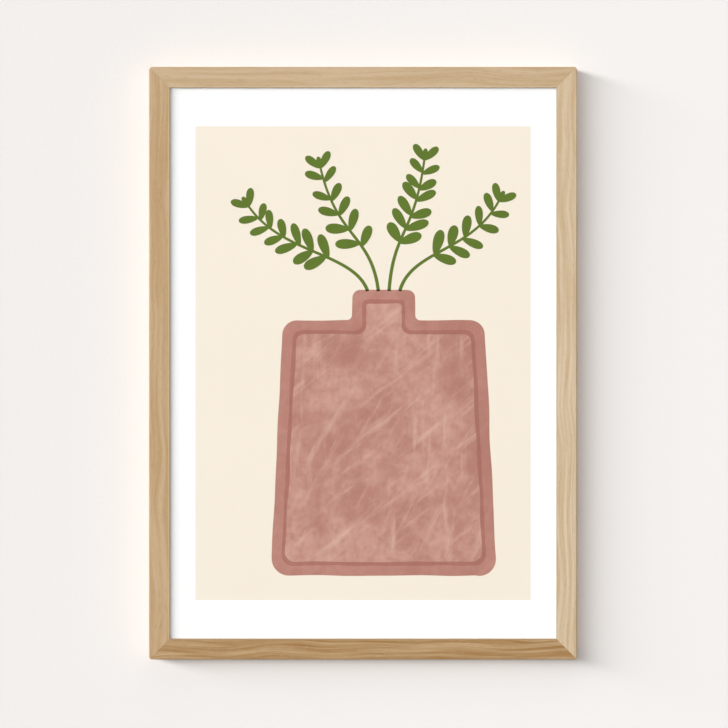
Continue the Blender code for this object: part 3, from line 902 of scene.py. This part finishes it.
def printed_design():
    """The cream ground, the bottle in three layers of ink, and four sprigs in its mouth."""
    cream = sheet_material("cream_ink", (0.790, 0.711, 0.603), 0.008)
    band = brushed_ink("bottle_band_ink", (0.436, 0.207, 0.166), (0.375, 0.159, 0.125), 0.20)
    line = brushed_ink("bottle_line_ink", (0.362, 0.144, 0.114), (0.323, 0.124, 0.095), 0.15)
    fill = brushed_ink("bottle_fill_ink", (0.508, 0.281, 0.225), (0.372, 0.161, 0.126), 0.60)
    green = sheet_material("herb_ink", (0.097, 0.156, 0.014), 0.10)
    right, up = PANEL_WIDTH / 2, PANEL_HEIGHT / 2
    printed("printed_ground", [[(-right, -up), (right, -up), (right, up), (-right, up)]], 1, cream)
    mouth = BOTTLE_NECK[1] - SPRIG_DEPTH
    for number, (across, height, pairs) in enumerate(SPRIGS, 1):
        root = BOTTLE_MIDDLE + SPRIG_ROOT + SPRIG_PITCH * (number - 1)
        lean = across - root
        rise = height - mouth
        curve = ((root, mouth), (root + 0.12 * lean, mouth + 0.46 * rise),
                 (root + 0.72 * lean, mouth + 0.42 * rise), (across, height))
        sprig(f"printed_sprig_{number}", curve, pairs, number, green)
    printed("printed_bottle_band", [bottle(0, 11)], 2, band)
    printed("printed_bottle_line", [bottle(BAND_WIDTH, 12)], 3, line)
    printed("printed_bottle_fill", [bottle(BAND_WIDTH + LINE_WIDTH, 13)], 4, fill)


# The stage, the lights and the camera

def plane(name, material, corners):
    """A flat piece of the stage."""
    mesh = bpy.data.meshes.new(name)
    mesh.from_pydata(corners, [], [range(len(corners))])
    mesh.materials.append(material)
    shown = bpy.data.objects.new(name, mesh)
    bpy.context.scene.collection.objects.link(shown)
    return shown


def stage():
    """A pale wall that shades nothing, and a pale floor that throws no light back."""
    floor = CENTRE.z - FLOOR_DROP
    reach = WALL_REACH
    wall = plane("wall", painted_wall(), [
        (-reach, 0, floor), (reach, 0, floor), (reach, 0, reach), (-reach, 0, reach)])
    wall.visible_shadow = False
    ground = plane("floor", pale_floor(), [
        (-reach, -reach, floor), (reach, -reach, floor), (reach, reach, floor), (-reach, reach, floor)])
    ground.visible_diffuse = False


def area_light(name, place, away, width, height, power, mirrored):
    """A rectangle that shines against its away direction; no camera sees it."""
    light = bpy.data.lights.new(name, "AREA")
    light.shape = "RECTANGLE"
    light.size = width
    light.size_y = height
    light.energy = power
    box = bpy.data.objects.new(name, light)
    box.location = place
    box.rotation_euler = away.to_track_quat("Z", "Y").to_euler()
    box.visible_camera = False
    box.visible_glossy = mirrored
    bpy.context.scene.collection.objects.link(box)


def softbox(name, azimuth, elevation, distance, width, height, power, mirrored):
    """An area light that faces the frame's centre; azimuth 0 is in front of it, 90 at its left."""
    across, up = radians(azimuth), radians(elevation)
    away = Vector((-sin(across) * cos(up), -cos(across) * cos(up), sin(up)))
    area_light(name, CENTRE + away * distance, away, width, height, power, mirrored)


def lights():
    """The key light's wall of softboxes, the other softboxes, and a light over the whole floor."""
    for number in range(KEY_BOXES):
        azimuth = KEY_SPREAD * (number + 0.5)
        elevation = degrees(atan(KEY_SLOPE * sin(radians(azimuth))))
        elevation += KEY_RISE * cos(radians(azimuth))
        width = 2 * KEY_DISTANCE * tan(radians(KEY_SPREAD / 2))
        softbox(f"key_{number + 1}", azimuth, elevation, KEY_DISTANCE, width, KEY_HEIGHT, KEY_POWER,
                mirrored=number > 0)
    for name, settings in SOFTBOXES.items():
        softbox(name, *settings)
    up = Vector((0, 0, 1))
    area_light("floor_light", CENTRE - up * FLOOR_LIGHT_DROP, up, FLOOR_LIGHT_SIZE, FLOOR_LIGHT_SIZE,
               FLOOR_LIGHT_POWER, mirrored=False)


def world():
    """A pale surround, which looks brighter than it shines."""
    surround = bpy.data.worlds.new("surround")
    surround.use_nodes = True
    nodes, links = surround.node_tree.nodes, surround.node_tree.links
    background = nodes["Background"]
    background.inputs["Color"].default_value = SURROUND_TONE
    rays = nodes.new("ShaderNodeLightPath")
    strength = nodes.new("ShaderNodeMapRange")
    strength.inputs["To Min"].default_value = SURROUND_SHINES
    strength.inputs["To Max"].default_value = SURROUND_LOOKS
    links.new(rays.outputs["Is Camera Ray"], strength.inputs["Value"])
    links.new(strength.outputs[0], background.inputs["Strength"])
    bpy.context.scene.world = surround


def camera():
    """Square on to the picture, through a long lens."""
    data = bpy.data.cameras.new("camera")
    data.lens = LENS
    data.sensor_width = SENSOR
    shot = bpy.data.objects.new("camera", data)
    right, up = VIEW_ASIDE
    distance = VIEW_WIDTH * LENS / SENSOR
    shot.location = (CENTRE.x + right, OUTER_LOW.y - distance, CENTRE.z + up)
    shot.rotation_euler = (pi / 2, 0, 0)
    bpy.context.scene.collection.objects.link(shot)
    bpy.context.scene.camera = shot
    bpy.context.scene.view_settings.view_transform = "Standard"


def dress():
    """Give every CAD node its material, and the finer shapes that stand for some of them."""
    zinc = steel("zinc_plate", (0.66, 0.66, 0.63), 0.28, 0.46)
    spring = steel("spring_steel", (0.40, 0.40, 0.42), 0.30, 0.50)
    for side, tones in RAIL_TONES.items():
        rail(side, oak(side, *tones))
    turn_buttons(zinc)
    for node in sorted(NODES):
        if node.startswith(("button_screw_", "hanger_nail_", "sawtooth_hanger")):
            refined(node, zinc, ease=0.00012)
        elif node.startswith("v_nail_"):
            refined(node, spring, ease=0.00008)
    bumper = rubber()
    for node in ("wall_bumper_left", "wall_bumper_right"):
        refined(node, bumper, ease=0.0002)
    refined("glazing", acrylic(), ease=0.00015)
    refined("print_sheet", sheet_material("art_paper", PAPER_WHITE), ease=0.00005)
    refined("foam_board", foam_board(), ease=0.0002)
    refined("cardboard_filler", corrugated_board(), ease=0.0003)
    refined("backing_board", hardboard(), ease=0.0004)


dress()
printed_design()
stage()
lights()
world()
camera()
